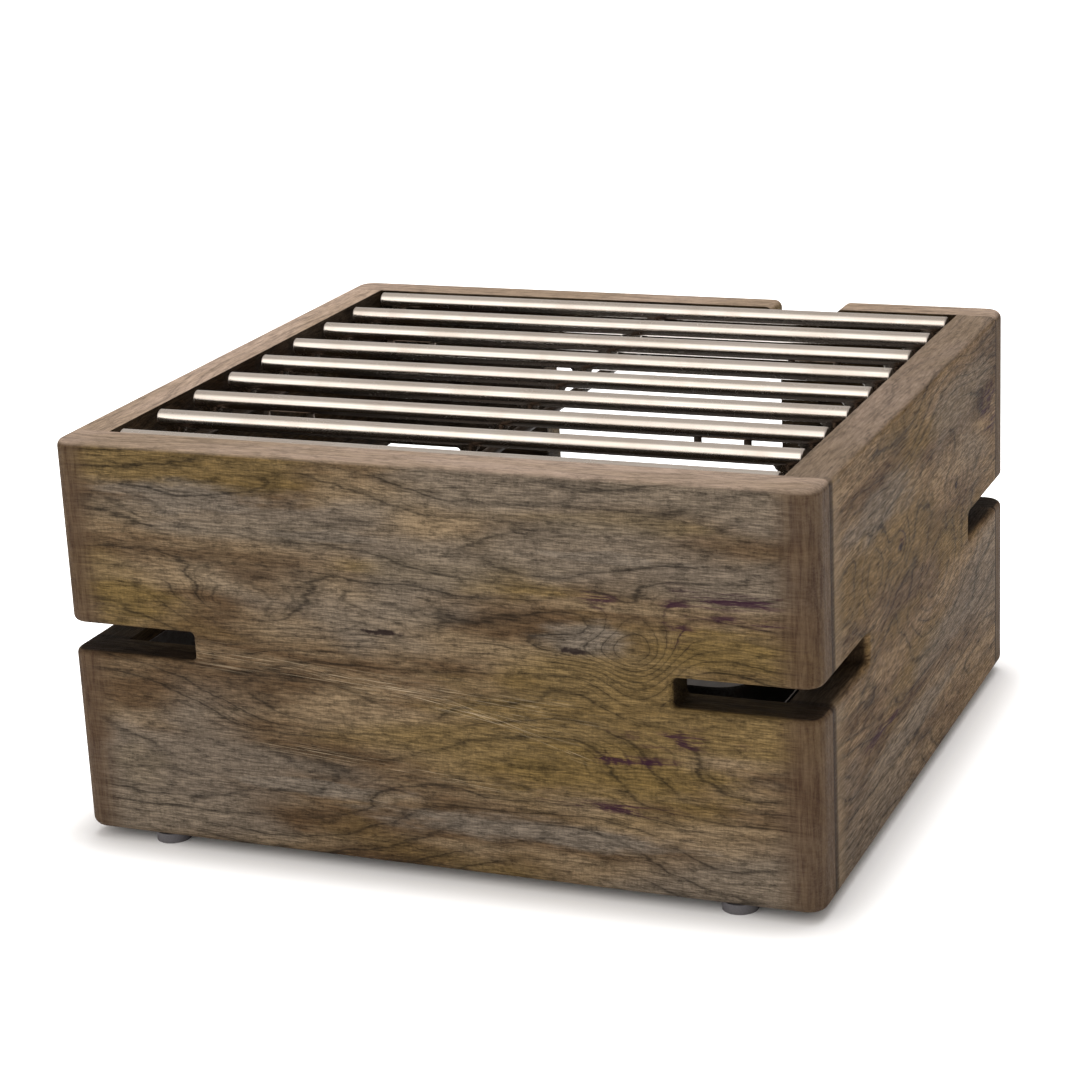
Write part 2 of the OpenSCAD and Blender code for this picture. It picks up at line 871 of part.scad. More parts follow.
module foot_pads() {
    color("#1f1f1f")
        for (p = foot_fix)
            at(p)
                difference() {
                    cylinder(h = foot_h, d = foot_d);
                    translate([0, 0, -cut])
                        cylinder(h = foot_h + 2 * cut, d = screw_d + 2 * slip);
                    translate([0, 0, foot_h - foot_recess])
                        cylinder(h = foot_recess + cut, d = head_d + 2);
                }
}

module foot_screws() {
    color("#8f8c88")
        for (p = foot_fix)
            at(p)
                translate([0, 0, foot_h - foot_recess])
                    screw(foot_h - foot_recess + screw_bite - slip);
}

// ---- What is drawn ----
front_board_upper();
front_board_lower();
back_board_upper();
back_board_lower();
left_board_upper();
left_board_lower();
right_board_upper();
right_board_lower();
edge_dowels();
corner_splines();
for (i = [1:bar_count])
    grate_bar(i);
bar_end_caps();
left_rail();
middle_rail();
right_rail();
rail_posts();
lifting_lugs();
grate_rests();
rest_screws();
base_batten_front();
base_batten_back();
base_batten_left();
base_batten_right();
batten_screws();
base_plate();
tray_legs();
leg_rivets();
stand_bar_left();
stand_bar_right();
fire_tray();
tray_grip_left();
tray_grip_right();
ash_grid();
drawer_runner_left();
drawer_runner_right();
ash_drawer();
drawer_front();
drawer_handle();
handle_screws();
shield_front();
shield_left();
shield_right();
shield_back_left();
shield_back_right();
shield_spacers();
shield_screws();
foot_pads();
foot_screws();
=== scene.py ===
"""Timber fire pit with a lift-out bar grate: the finished boards, every piece's finish, and the studio."""

import math

import bmesh
import bpy
from mathutils import Matrix, Vector


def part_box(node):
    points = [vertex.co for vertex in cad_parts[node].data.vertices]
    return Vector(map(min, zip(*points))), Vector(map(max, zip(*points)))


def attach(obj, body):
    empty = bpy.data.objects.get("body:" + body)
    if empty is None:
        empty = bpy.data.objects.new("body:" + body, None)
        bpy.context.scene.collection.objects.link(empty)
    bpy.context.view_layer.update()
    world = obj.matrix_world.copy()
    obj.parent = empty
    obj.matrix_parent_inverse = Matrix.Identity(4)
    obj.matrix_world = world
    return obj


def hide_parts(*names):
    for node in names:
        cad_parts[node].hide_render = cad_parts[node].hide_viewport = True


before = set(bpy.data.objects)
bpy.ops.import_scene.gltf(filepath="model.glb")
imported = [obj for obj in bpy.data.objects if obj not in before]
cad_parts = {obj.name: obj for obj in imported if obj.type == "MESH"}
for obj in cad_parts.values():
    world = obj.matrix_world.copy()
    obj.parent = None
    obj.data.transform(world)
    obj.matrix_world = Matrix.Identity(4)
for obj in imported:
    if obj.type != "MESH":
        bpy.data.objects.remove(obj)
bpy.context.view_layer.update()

# ---- Sizes in metres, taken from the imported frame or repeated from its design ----
FRONT_LOW, FRONT_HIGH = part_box("front_board_lower")
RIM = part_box("front_board_upper")[1].z
SEAM = FRONT_HIGH.z
SILL = FRONT_LOW.z
HALF_W = FRONT_HIGH.x
HALF_D = -FRONT_LOW.y
WALL = FRONT_HIGH.y - FRONT_LOW.y
IN_X = HALF_W - WALL
IN_Y = HALF_D - WALL
SLOT_HALF_H = 0.015
SLOT_X = 0.145
SLOT_Y = 0.168
SLOT_END_R = 0.005
WINDOW_HALF = 0.1475
WINDOW_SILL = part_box("base_plate")[1].z
WINDOW_HEAD = RIM - 0.074
NOTCH_X = 0.177
NOTCH_HALF = 0.037
NOTCH_DEPTH = 0.018
NOTCH_R = 0.009
CORNER_R = 0.020
RIM_R = 0.008
FOOT_R = 0.010
LIP_R = 0.006
WINDOW_R = 0.003
JOINT_R = 0.0045
TINY = 1e-5

# How finely each rounding is cut
SLOT_END_STEPS = 6
CORNER_STEPS = 12
RIM_STEPS = 7
LIP_STEPS = 5
WINDOW_STEPS = 3
JOINT_STEPS = 4
LEAST_UPRIGHT = 0.02


# ---- The wooden boards ----
def edges_where(bm, test):
    """The edges whose two ends both pass the test."""
    return [e for e in bm.edges if test(e.verts[0].co) and test(e.verts[1].co)]


def round_edges(bm, edges, radius, segments):
    if edges:
        bmesh.ops.bevel(bm, geom=edges, offset=radius, offset_type="OFFSET", segments=segments,
                        profile=0.5, affect="EDGES", clamp_overlap=False, material=-1)


def near(a, b):
    return abs(a - b) < TINY


def board_outline(half, blind, upper, window, notch):
    """The corners of a board seen from outside, and the few corners that are cut round."""
    low, high = (SEAM, RIM) if upper else (SILL, SEAM)
    slot = SEAM + SLOT_HALF_H if upper else SEAM - SLOT_HALF_H
    if upper:
        right = [(blind, low), (blind, slot), (half, slot), (half, high)]
        left = [(-half, high), (-half, slot), (-blind, slot), (-blind, low)]
        top = []
        if notch:
            a, b = -NOTCH_X + NOTCH_HALF, -NOTCH_X - NOTCH_HALF
            top = [(a, high), (a, high - NOTCH_DEPTH), (b, high - NOTCH_DEPTH), (b, high)]
        foot = []
        if window:
            foot = [(-WINDOW_HALF, low), (-WINDOW_HALF, WINDOW_HEAD),
                    (WINDOW_HALF, WINDOW_HEAD), (WINDOW_HALF, low)]
        points = right + top + left + foot
        rounds = [((blind, slot), SLOT_END_R), ((-blind, slot), SLOT_END_R)]
        if notch:
            rounds += [(top[0], NOTCH_R), (top[3], NOTCH_R)]
    else:
        right = [(half, low), (half, slot), (blind, slot), (blind, high)]
        left = [(-blind, high), (-blind, slot), (-half, slot), (-half, low)]
        top = []
        if window:
            top = [(WINDOW_HALF, high), (WINDOW_HALF, WINDOW_SILL),
                   (-WINDOW_HALF, WINDOW_SILL), (-WINDOW_HALF, high)]
        points = right + top + left
        rounds = [((blind, slot), SLOT_END_R), ((-blind, slot), SLOT_END_R)]
    return points, rounds, slot


def make_board(name, turn, half, out, blind, upper, material, window=False, notch=False):
    """One board, shaped in the front wall's place and then turned to its own wall."""
    full_width = near(half, HALF_W)
    points, rounds, slot = board_outline(half, blind, upper, window, notch)
    low, high = (SEAM, RIM) if upper else (SILL, SEAM)
    bm = bmesh.new()
    bm.faces.new([bm.verts.new((u, 0, z)) for u, z in points])
    for (u, z), radius in rounds:
        spot = [v for v in bm.verts if near(v.co.x, u) and near(v.co.z, z)]
        bmesh.ops.bevel(bm, geom=spot, offset=radius, offset_type="OFFSET",
                        segments=SLOT_END_STEPS, profile=0.5, affect="VERTICES",
                        clamp_overlap=False, material=-1)
    grown = bmesh.ops.extrude_face_region(bm, geom=bm.faces[:])
    moved = [v for v in grown["geom"] if isinstance(v, bmesh.types.BMVert)]
    bmesh.ops.translate(bm, verts=moved, vec=(0, WALL, 0))
    bmesh.ops.recalc_face_normals(bm, faces=bm.faces[:])

    def inner(p):
        return near(p.y, WALL)

    def outside(p):
        """On the part of the contour that shows: the outer face, and a full-width board's ends."""
        return (not inner(p) or near(abs(p.x), half)) if full_width else near(p.y, 0)

    def contour(test):
        return [e for e in edges_where(bm, lambda p: test(p) and outside(p))
                if not (inner(e.verts[0].co) and inner(e.verts[1].co))]

    def upright(test):
        return [e for e in edges_where(bm, test) if near(e.verts[0].co.x, e.verts[1].co.x)
                and abs(e.verts[0].co.z - e.verts[1].co.z) > LEAST_UPRIGHT]

    def notched(p):
        return (notch and near(p.y, 0) and p.z > high - NOTCH_DEPTH - TINY
                and abs(p.x + NOTCH_X) < NOTCH_HALF + NOTCH_R + TINY)

    def beside_slot(p):
        return (near(p.y, 0) and blind - TINY < abs(p.x) < IN_X - 0.05
                and abs(p.z - SEAM) < SLOT_HALF_H + TINY)

    def on_window(p):
        edge = WINDOW_HEAD if upper else WINDOW_SILL
        return ((near(abs(p.x), WINDOW_HALF) or near(p.z, edge))
                and abs(p.x) < WINDOW_HALF + TINY and (near(p.y, 0) or inner(p)))

    if full_width:
        round_edges(bm, upright(lambda p: near(abs(p.x), half) and near(p.y, 0)), CORNER_R, CORNER_STEPS)
    if upper:
        round_edges(bm, contour(lambda p: near(p.z, high) or notched(p)), RIM_R, RIM_STEPS)
    else:
        round_edges(bm, contour(lambda p: near(p.z, low)), FOOT_R, RIM_STEPS)
    mouth = contour(lambda p: near(p.z, slot) and abs(p.x) > blind - SLOT_END_R - TINY)
    mouth += [e for e in edges_where(bm, beside_slot)
              if e not in mouth and not near(e.verts[0].co.z, e.verts[1].co.z)]
    round_edges(bm, mouth, LIP_R, LIP_STEPS)
    if window:
        picked = [e for e in edges_where(bm, on_window)
                  if near(e.verts[0].co.y, e.verts[1].co.y)
                  and not (near(e.verts[0].co.z, SEAM) and near(e.verts[1].co.z, SEAM))]
        round_edges(bm, picked, WINDOW_R, WINDOW_STEPS)
    if full_width and turn == 0:
        round_edges(bm, upright(lambda p: near(abs(p.x), half) and inner(p)), JOINT_R, JOINT_STEPS)
    elif not full_width:
        front_end = half if turn == 270 else -half
        round_edges(bm, upright(lambda p: near(p.x, front_end) and near(p.y, 0)), JOINT_R, JOINT_STEPS)
    bmesh.ops.recalc_face_normals(bm, faces=bm.faces[:])
    bm.transform(Matrix.Rotation(math.radians(turn), 4, "Z") @ Matrix.Translation((0, -out, 0)))
    return finish_piece(bm, name, material)


def finish_piece(bm, name, material, body="box", crease=32.0):
    mesh = bpy.data.meshes.new(name)
    bm.to_mesh(mesh)
    bm.free()
    mesh.shade_smooth()
    mesh.set_sharp_from_angle(angle=math.radians(crease))
    mesh.materials.append(material)
    piece = bpy.data.objects.new(name, mesh)
    bpy.context.scene.collection.objects.link(piece)
    even = piece.modifiers.new("even shading", "WEIGHTED_NORMAL")
    even.keep_sharp = True
    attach(piece, body)
    return piece


# ---- Helpers that place and join shader nodes ----
def join(tree, node, feeds):
    """Links each feed that is a socket to the node's input, and sets each that is a plain value."""
    for key, feed in feeds.items():
        if isinstance(feed, bpy.types.NodeSocket):
            tree.links.new(feed, node.inputs[key])
        else:
            node.inputs[key].default_value = feed
    return node


def put(tree, kind, feeds=None, **settings):
    node = tree.nodes.new(kind)
    for key, value in settings.items():
        setattr(node, key, value)
    return join(tree, node, feeds or {})


def calc(tree, operation, a, b=None, c=None, clamp=False):
    feeds = {0: a}
    if b is not None:
        feeds[1] = b
    if c is not None:
        feeds[2] = c
    return put(tree, "ShaderNodeMath", feeds, operation=operation, use_clamp=clamp).outputs[0]


def aim(tree, operation, a, b=None):
    feeds = {0: a}
    if b is not None:
        feeds[3 if operation == "SCALE" else 1] = b
    node = put(tree, "ShaderNodeVectorMath", feeds, operation=operation)
    return node.outputs["Value" if operation in ("LENGTH", "DISTANCE", "DOT_PRODUCT") else "Vector"]


def tone(tree, share, a, b):
    """The colour that is a where the share is 0 and b where it is 1."""
    return put(tree, "ShaderNodeMix", {0: share, 6: a, 7: b}, data_type="RGBA").outputs[2]


def ease(tree, value, low, high, start=0.0, end=1.0):
    return put(tree, "ShaderNodeMapRange", {0: value, 1: low, 2: high, 3: start, 4: end},
               interpolation_type="SMOOTHSTEP").outputs[0]


def grit(tree, place, scale, detail=2.0, rough=0.5, warp=0.0):
    return put(tree, "ShaderNodeTexNoise",
               {"Vector": place, "Scale": scale, "Detail": detail, "Roughness": rough, "Distortion": warp}
               ).outputs["Fac"]


def stretch(tree, place, scale, shift=(0, 0, 0)):
    return put(tree, "ShaderNodeMapping", {0: place, 1: shift, 3: scale}).outputs[0]


def new_group(name, ins, outs):
    tree = bpy.data.node_groups.new(name, "ShaderNodeTree")
    kinds = {"f": "NodeSocketFloat", "v": "NodeSocketVector", "c": "NodeSocketColor"}
    for label, kind, default in ins:
        socket = tree.interface.new_socket(label, in_out="INPUT", socket_type=kinds[kind])
        socket.default_value = default
    for label, kind in outs:
        tree.interface.new_socket(label, in_out="OUTPUT", socket_type=kinds[kind])
    return tree, tree.nodes.new("NodeGroupInput").outputs, tree.nodes.new("NodeGroupOutput").inputs


def use(tree, group, feeds):
    node = tree.nodes.new("ShaderNodeGroup")
    node.node_tree = group
    return join(tree, node, feeds).outputs


def new_finish(name):
    finish = bpy.data.materials.new(name)
    finish.use_nodes = True
    tree = finish.node_tree
    tree.nodes.clear()
    shader = tree.nodes.new("ShaderNodeBsdfPrincipled")
    end = tree.nodes.new("ShaderNodeOutputMaterial")
    tree.links.new(shader.outputs[0], end.inputs[0])
    place = tree.nodes.new("ShaderNodeTexCoord").outputs["Object"]
    return finish, tree, shader, place


def dress(tree, shader, colour, rough, height, depth, strength, metal=0.0):
    tree.links.new(colour, shader.inputs["Base Color"])
    tree.links.new(rough, shader.inputs["Roughness"])
    shader.inputs["Metallic"].default_value = metal
    bump = put(tree, "ShaderNodeBump", {"Strength": strength, "Distance": depth, "Height": height})
    tree.links.new(bump.outputs[0], shader.inputs["Normal"])


# ---- Shared groups ----
def group_stain():
    """A long soft patch with a ragged edge."""
    tree, gi, go = new_group("stain patch", [("Place", "v", (0, 0, 0)), ("Centre", "v", (0, 0, 0)),
                                             ("Reach", "v", (0.1, 0.1, 1)), ("Ragged", "f", 0.5)],
                             [("Mask", "f")])
    apart = aim(tree, "DIVIDE", aim(tree, "SUBTRACT", gi["Place"], gi["Centre"]), gi["Reach"])
    far = aim(tree, "LENGTH", apart)
    noise = grit(tree, stretch(tree, gi["Place"], (14, 60, 60)), 1.0, 3.0, 0.6)
    edge = calc(tree, "MULTIPLY_ADD", calc(tree, "SUBTRACT", noise, 0.5), gi["Ragged"], far)
    tree.links.new(ease(tree, edge, 1.15, 0.35), go["Mask"])
    return tree


def group_knot():
    """How far the growth rings swell round a knot, and the knot's dark heart."""
    tree, gi, go = new_group("knot", [("Place", "v", (0, 0, 0)), ("Centre", "v", (0, 0, 0)),
                                      ("Reach", "v", (0.1, 0.1, 1)), ("Heart", "v", (0.01, 0.01, 1))],
                             [("Swell", "f"), ("Core", "f")])
    off = aim(tree, "SUBTRACT", gi["Place"], gi["Centre"])
    far = aim(tree, "LENGTH", aim(tree, "DIVIDE", off, gi["Reach"]))
    swell = calc(tree, "EXPONENT", calc(tree, "MULTIPLY", calc(tree, "MULTIPLY", far, far), -1.4))
    ragged = calc(tree, "MULTIPLY", calc(tree, "SUBTRACT", grit(tree, gi["Place"], 160.0, 3.0), 0.5), 1.6)
    heart = calc(tree, "ADD", aim(tree, "LENGTH", aim(tree, "DIVIDE", off, gi["Heart"])), ragged)
    tree.links.new(swell, go["Swell"])
    tree.links.new(ease(tree, heart, 1.2, 0.5), go["Core"])
    return tree


def group_timber():
    """The figure of sawn timber. Place runs (along the grain, across it, into the board), in metres."""
    tree, gi, go = new_group(
        "timber figure",
        [("Place", "v", (0, 0, 0)), ("Seed", "v", (0, 0, 0)), ("Rings", "f", 42.0), ("Sway", "f", 7.0),
         ("Swell", "f", 0.0)],
        [("Rings", "f"), ("Fibre", "f"), ("Pores", "f"), ("Broad", "f"), ("Saw", "f"), ("Warm", "f"),
         ("Speck", "f"), ("Early", "f")])
    p = aim(tree, "ADD", gi["Place"], gi["Seed"])
    wave = grit(tree, stretch(tree, p, (2.4, 8.0, 4.0)), 1.0, 1.5, 0.4, 0.25)
    ripple = grit(tree, stretch(tree, p, (8.0, 26.0, 20.0)), 1.0, 2.0, 0.5)
    shiver = grit(tree, stretch(tree, p, (45.0, 190.0, 120.0)), 1.0, 2.0, 0.5)
    split = put(tree, "ShaderNodeSeparateXYZ", {0: p}).outputs
    growth = calc(tree, "MULTIPLY", calc(tree, "MULTIPLY_ADD", split[2], 1.6, split[1]), gi["Rings"])
    growth = calc(tree, "MULTIPLY_ADD", wave, calc(tree, "MULTIPLY", gi["Sway"], 2.0), growth)
    growth = calc(tree, "MULTIPLY_ADD", ripple, 1.1, growth)
    growth = calc(tree, "MULTIPLY_ADD", shiver, 0.16, growth)
    growth = calc(tree, "ADD", growth, gi["Swell"])
    turn = calc(tree, "FRACT", growth)
    ragged = calc(tree, "MULTIPLY_ADD", grit(tree, stretch(tree, p, (28.0, 260.0, 260.0), (7, 7, 1)), 1.0, 3.0, 0.7),
                  0.34, calc(tree, "SUBTRACT", turn, 0.17))
    middle = calc(tree, "ABSOLUTE", calc(tree, "SUBTRACT", ragged, 0.5))
    late = calc(tree, "MULTIPLY_ADD", ease(tree, middle, 0.30, 0.02), 0.35,
                calc(tree, "MULTIPLY", ease(tree, middle, 0.085, 0.01), 0.65))
    tree.links.new(calc(tree, "SUBTRACT", 1.0, calc(tree, "MULTIPLY", turn, ease(tree, turn, 1.0, 0.80))),
                   go["Early"])
    drop = calc(tree, "ABSOLUTE", calc(tree, "SUBTRACT", calc(
        tree, "FRACT", calc(tree, "MULTIPLY_ADD", growth, 3.0, 0.4)), 0.5))
    fine = ease(tree, drop, 0.20, 0.02)
    vary = grit(tree, stretch(tree, p, (5.0, 22.0, 30.0), (3, 1, 2)), 1.0, 3.0, 0.6)
    ring = calc(tree, "MAXIMUM", calc(tree, "MULTIPLY", late, ease(tree, vary, 0.34, 0.56, 0.25, 1.0)),
                calc(tree, "MULTIPLY", fine, ease(tree, vary, 0.44, 0.66, 0.08, 0.60)))
    tree.links.new(ring, go["Rings"])
    hair = grit(tree, stretch(tree, p, (42.0, 480.0, 480.0)), 1.0, 6.0, 0.78, 0.4)
    tree.links.new(ease(tree, hair, 0.36, 0.64), go["Fibre"])
    pore = grit(tree, stretch(tree, p, (60.0, 1150.0, 1150.0), (5, 2, 8)), 1.0, 2.0, 0.5)
    tree.links.new(ease(tree, pore, 0.60, 0.72), go["Pores"])
    broad = grit(tree, stretch(tree, p, (3.4, 21.0, 14.0), (1, 6, 3)), 1.0, 4.0, 0.60, 0.5)
    tree.links.new(ease(tree, broad, 0.36, 0.64), go["Broad"])
    tree.links.new(ease(tree, grit(tree, stretch(tree, p, (430.0, 95.0, 300.0)), 1.0, 4.0, 0.7), 0.38, 0.62),
                   go["Saw"])
    tree.links.new(grit(tree, stretch(tree, p, (2.6, 9.0, 9.0), (9, 2, 4)), 1.0, 2.5, 0.5, 0.4), go["Warm"])
    speck = grit(tree, stretch(tree, p, (48.0, 105.0, 105.0), (2, 7, 5)), 1.0, 7.0, 0.82)
    tree.links.new(ease(tree, speck, 0.46, 0.66), go["Speck"])
    return tree


def group_brushed():
    """Fine drawn lines and faint smudges on metal. Stretch sets which way the lines run."""
    tree, gi, go = new_group("brushed metal", [("Place", "v", (0, 0, 0)), ("Stretch", "v", (8, 900, 900)),
                                               ("Smudge", "f", 12.0)],
                             [("Lines", "f"), ("Smudges", "f"), ("Scuffs", "f")])
    lines = grit(tree, aim(tree, "MULTIPLY", gi["Place"], gi["Stretch"]), 1.0, 3.0, 0.6)
    tree.links.new(lines, go["Lines"])
    tree.links.new(grit(tree, gi["Place"], gi["Smudge"], 4.0, 0.6, 0.8), go["Smudges"])
    cells = put(tree, "ShaderNodeTexVoronoi", {"Vector": stretch(tree, gi["Place"], (60, 160, 160)), "Scale": 2.0},
                feature="DISTANCE_TO_EDGE").outputs["Distance"]
    keep = ease(tree, grit(tree, gi["Place"], 55.0, 2.0), 0.52, 0.62)
    tree.links.new(calc(tree, "MULTIPLY", ease(tree, cells, 0.035, 0.0), keep), go["Scuffs"])
    return tree


def group_dust():
    """Ash and dust that settles on faces that look up."""
    tree, gi, go = new_group("settled dust", [("Place", "v", (0, 0, 0)), ("Amount", "f", 0.5)], [("Mask", "f")])
    up = put(tree, "ShaderNodeSeparateXYZ", {0: put(tree, "ShaderNodeNewGeometry").outputs["Normal"]}).outputs[2]
    patch = ease(tree, grit(tree, gi["Place"], 34.0, 5.0, 0.65), 0.35, 0.72)
    grain = ease(tree, grit(tree, gi["Place"], 900.0, 2.0), 0.35, 0.65)
    mask = calc(tree, "MULTIPLY", calc(tree, "MULTIPLY", ease(tree, up, 0.2, 0.9), patch),
                calc(tree, "MULTIPLY", calc(tree, "MULTIPLY_ADD", grain, 0.5, 0.5), gi["Amount"]))
    tree.links.new(mask, go["Mask"])
    return tree


STAIN = group_stain()
KNOT = group_knot()
TIMBER = group_timber()
BRUSHED = group_brushed()
DUST = group_dust()

BROWN = (0.066, 0.039, 0.019, 1)
LIGHT_BROWN = (0.170, 0.121, 0.071, 1)
DARK_BROWN = (0.022, 0.012, 0.006, 1)
OCHRE = (0.112, 0.073, 0.024, 1)
SILVER_GREY = (0.128, 0.104, 0.080, 1)
VIOLET = (0.022, 0.004, 0.015, 1)
PALE_FIBRE = (0.46, 0.36, 0.24, 1)
# Taupe of the top faces: partly grey weathering, partly painted light from above
RIM_TAUPE = (0.315, 0.236, 0.184, 1)
END_BROWN = (0.048, 0.024, 0.014, 1)
SIDE_WARMTH = (0.90, 0.82, 0.74)
# Char brown, also used as painted shade inside the box and in the slots
CHAR_AND_SHADE = (0.006, 0.003, 0.0018, 1)
INK = (0.010, 0.005, 0.005, 1)
NO_HEART = (0.0001, 0.0001)


def shade(tree, factor, low, high, value):
    """Multiplies a running brightness by low where the value is 0 and by high where it is 1."""
    step = calc(tree, "MULTIPLY_ADD", value, high - low, low)
    return step if factor is None else calc(tree, "MULTIPLY", factor, step)


def board_place(tree, place, along, outside, inward):
    """(along the grain, height, depth behind the outer face) from the object's own place."""
    axes = put(tree, "ShaderNodeSeparateXYZ", {0: place}).outputs
    run, side = (axes[0], axes[1]) if along == "x" else (axes[1], axes[0])
    depth = calc(tree, "MULTIPLY_ADD", side, inward, -inward * outside)
    return put(tree, "ShaderNodeCombineXYZ", {0: run, 1: axes[2], 2: depth}).outputs[0], run, axes[2], depth


def weathered(name, along, outside, inward, seed, knots, violet, ochre, grey, scratches, rim_painted_light=1.10):
    """Old timber of one wall. Each patch is (place, reach) and each scratch is (height, slope, width, start,
    end), in metres along the wall and above the ground; a knot adds how far its rings swell and its heart."""
    finish, tree, shader, place = new_finish(name)
    spot, run, height, depth = board_place(tree, place, along, outside, inward)
    flat = aim(tree, "MULTIPLY", spot, (1, 1, 0))

    swell = core = None
    for centre, reach, rings, heart in knots:
        k = use(tree, KNOT, {"Place": flat, "Centre": (*centre, 0), "Reach": (*reach, 1), "Heart": (*heart, 1)})
        lift = calc(tree, "MULTIPLY", k["Swell"], rings)
        swell = lift if swell is None else calc(tree, "ADD", swell, lift)
        core = k["Core"] if core is None else calc(tree, "MAXIMUM", core, k["Core"])
    t = use(tree, TIMBER, {"Place": spot, "Seed": seed, "Rings": 36.0, "Sway": 5.5, "Swell": swell})

    def patches(spots, ragged):
        mask = None
        for centre, reach in spots:
            m = use(tree, STAIN, {"Place": flat, "Centre": (*centre, 0), "Reach": (*reach, 1),
                                  "Ragged": ragged})["Mask"]
            mask = m if mask is None else calc(tree, "MAXIMUM", mask, m)
        return mask

    colour = tone(tree, t["Broad"], BROWN, LIGHT_BROWN)
    colour = tone(tree, calc(tree, "MULTIPLY", ease(tree, t["Warm"], 0.50, 0.64), 0.75), colour, OCHRE)
    silver = calc(tree, "MAXIMUM", calc(tree, "MULTIPLY", ease(tree, t["Warm"], 0.48, 0.34), 0.75),
                  calc(tree, "MULTIPLY", patches(grey, 1.6), 0.9))
    colour = tone(tree, calc(tree, "MULTIPLY", patches(ochre, 1.8), 0.85), colour, OCHRE)
    colour = tone(tree, silver, colour, SILVER_GREY)
    streak = grit(tree, stretch(tree, spot, (16.0, 130.0, 60.0), (0.4, 0.2, 0.9)), 1.0, 5.0, 0.72, 0.8)
    streak = ease(tree, calc(tree, "MULTIPLY_ADD", t["Rings"], 0.10, streak), 0.47, 0.60)
    stained = calc(tree, "MULTIPLY", patches(violet, 2.2), streak, clamp=True)
    light = shade(tree, None, 0.52, 1.30, t["Fibre"])
    light = shade(tree, light, 1.0, 0.36, t["Rings"])
    light = shade(tree, light, 0.92, 1.06, t["Early"])
    light = shade(tree, light, 1.20, 0.52, t["Speck"])
    light = shade(tree, light, 0.90, 1.10, t["Saw"])
    light = shade(tree, light, 1.0, 0.60, t["Pores"])
    colour = aim(tree, "SCALE", colour, light)
    colour = tone(tree, calc(tree, "MULTIPLY", stained, 0.85), colour, VIOLET)
    colour = tone(tree, calc(tree, "MULTIPLY", core, 0.92), colour, INK)

    # Pale torn fibres in slanting bands
    torn = None
    for z0, slope, width, start, end in scratches:
        line = calc(tree, "MULTIPLY_ADD", run, slope, z0)
        off = calc(tree, "DIVIDE", calc(tree, "SUBTRACT", height, line), width)
        band = calc(tree, "EXPONENT", calc(tree, "MULTIPLY", calc(tree, "MULTIPLY", off, off), -1.0))
        ends = calc(tree, "MULTIPLY", ease(tree, run, start - 0.03, start + 0.03),
                    ease(tree, run, end + 0.04, end - 0.04))
        slant = put(tree, "ShaderNodeCombineXYZ", {0: calc(tree, "MULTIPLY", run, 11.0), 1: calc(
            tree, "MULTIPLY", calc(tree, "SUBTRACT", height, line), 780.0), 2: z0 * 90}).outputs[0]
        hairs = ease(tree, grit(tree, slant, 1.0, 4.0, 0.7, 0.3), 0.54, 0.68)
        m = calc(tree, "MULTIPLY", calc(tree, "MULTIPLY", band, hairs), ends)
        torn = m if torn is None else calc(tree, "MAXIMUM", torn, m)
    colour = tone(tree, calc(tree, "MULTIPLY", torn, 0.75), colour, PALE_FIBRE)

    # The outer ends are browner and rubbed; the dark bands at the corner joints are painted shade in the joint
    # grooves
    reach = calc(tree, "ABSOLUTE", run)
    if along == "x":
        end = ease(tree, reach, HALF_W - 0.052, HALF_W - 0.018)
        streaks = grit(tree, stretch(tree, spot, (210.0, 16.0, 210.0)), 1.0, 5.0, 0.75, 0.3)
        rubbed = tone(tree, ease(tree, streaks, 0.34, 0.66), DARK_BROWN, LIGHT_BROWN)
        rubbed = tone(tree, 0.64, rubbed, END_BROWN)
        colour = tone(tree, calc(tree, "MULTIPLY", end, 0.84), colour, rubbed)
        # Painted shade: a dark band on this board's ends next to its inner face, in the joint groove
        groove = calc(tree, "MULTIPLY", ease(tree, depth, WALL - 0.007, WALL - 0.001),
                      ease(tree, reach, HALF_W - 0.012, HALF_W - 0.001))
        colour = tone(tree, calc(tree, "MULTIPLY", groove, 0.85), colour, DARK_BROWN)
    else:
        colour = aim(tree, "MULTIPLY", colour, SIDE_WARMTH)
        end = ease(tree, run, -IN_Y + 0.045, -IN_Y + 0.012)
        colour = tone(tree, calc(tree, "MULTIPLY", end, 0.45), colour, LIGHT_BROWN)
        # Painted shade: a dark band at the side board's front end, in the joint groove
        groove = ease(tree, run, -IN_Y + 0.011, -IN_Y + 0.004)
        colour = tone(tree, calc(tree, "MULTIPLY", groove, 0.85), colour, DARK_BROWN)

    # Faces that look up near the rim are greyer from weathering and painted lighter as if lit from above, by a factor
    # set per wall (painted light); the fire side and the slots are smoked and painted with shade
    normal = put(tree, "ShaderNodeNewGeometry").outputs["Normal"]
    look = put(tree, "ShaderNodeSeparateXYZ", {0: normal}).outputs
    up = calc(tree, "MULTIPLY", ease(tree, look[2], 0.30, 0.95), ease(tree, height, RIM - 0.02, RIM - 0.006))
    worn_and_painted_top_light = shade(tree, None, 0.78, 1.22, t["Fibre"])
    worn_and_painted_top_light = shade(tree, worn_and_painted_top_light, 1.0, 0.66, t["Rings"])
    worn_and_painted_top_light = shade(tree, worn_and_painted_top_light, 1.04, 0.74, t["Speck"])
    worn_and_painted_top_light = shade(tree, worn_and_painted_top_light, 1.0, 0.62, t["Pores"])
    worn_and_lit_top = tone(tree, t["Broad"], RIM_TAUPE, tone(tree, 0.5, RIM_TAUPE, LIGHT_BROWN))
    # The per-wall factor here brightens or darkens each wall's top faces: painted light and shade
    worn_and_painted_top_light = calc(tree, "MULTIPLY", worn_and_painted_top_light, rim_painted_light)
    worn_and_lit_top = aim(tree, "SCALE", worn_and_lit_top, worn_and_painted_top_light)
    colour = tone(tree, calc(tree, "MULTIPLY", up, 0.9), colour, worn_and_lit_top)
